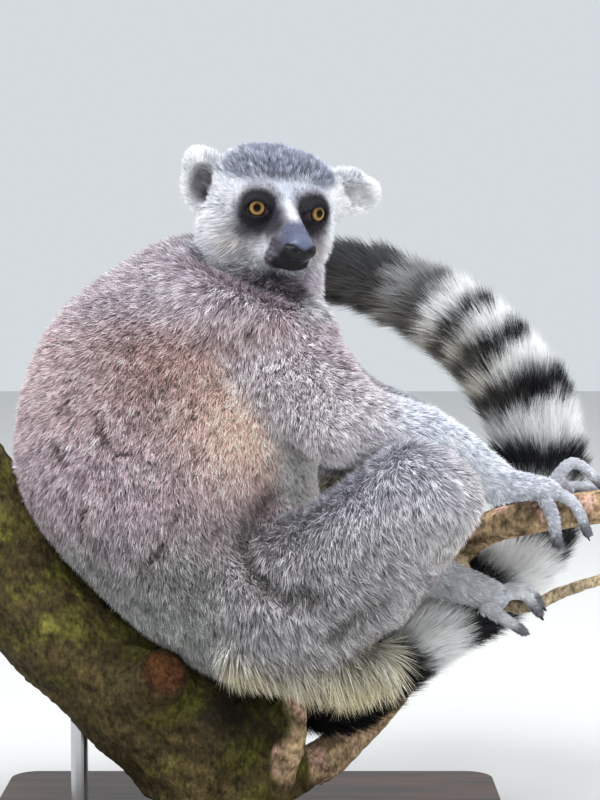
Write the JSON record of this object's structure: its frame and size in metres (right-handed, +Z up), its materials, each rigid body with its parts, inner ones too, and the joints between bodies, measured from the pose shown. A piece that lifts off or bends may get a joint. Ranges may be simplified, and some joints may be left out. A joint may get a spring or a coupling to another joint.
{
  "type": "ring-tailed lemur",
  "caption": "Ring-tailed lemur hunched in a tree fork, hands on a side branch, face turned aside and ringed tail curled up behind it, on a flat display stand.",
  "frame": {"origin": "on the floor, under the middle of the whole object's box", "axes": "+X the way the animal's body faces, +Y to its left, +Z up; its face is turned towards -Y"},
  "size_m": [0.4382, 0.2512, 0.4018],
  "materials": {
    "coat_white": "soft fur",
    "coat_grey": "soft fur",
    "coat_brown": "soft fur",
    "coat_tail": "soft fur in rings",
    "eye": "wet gloss",
    "bark": "rough bark",
    "steel": "satin",
    "base_wood": "satin lacquer"
  },
  "bodies": {
    "root": {"head": "coat_white", "ear_right": "coat_white", "ear_left": "coat_white", "eye_right": "eye", "eye_left": "eye", "neck": "coat_grey", "upper_arm_right": "coat_grey", "upper_arm_left": "coat_grey", "forearm_right": "coat_grey", "forearm_left": "coat_grey", "hand_right": "coat_grey", "hand_left": "coat_grey", "thigh_right": "coat_grey", "thigh_left": "coat_grey", "shank_right": "coat_grey", "shank_left": "coat_grey", "foot_right": "coat_grey", "foot_left": "coat_grey", "trunk": "coat_brown", "tail_1": "coat_tail", "tail_2": "coat_tail", "tail_3": "coat_tail", "tail_4": "coat_tail", "tail_5": "coat_tail", "tail_6": "coat_tail", "perch_limb": "bark", "perch_branch": "bark", "perch_shoot": "bark", "perch_prop": "bark", "perch_stub": "bark", "stand_base": "base_wood", "stand_rod_back": "steel", "stand_rod_front": "steel"}
  },
  "joints": []
}
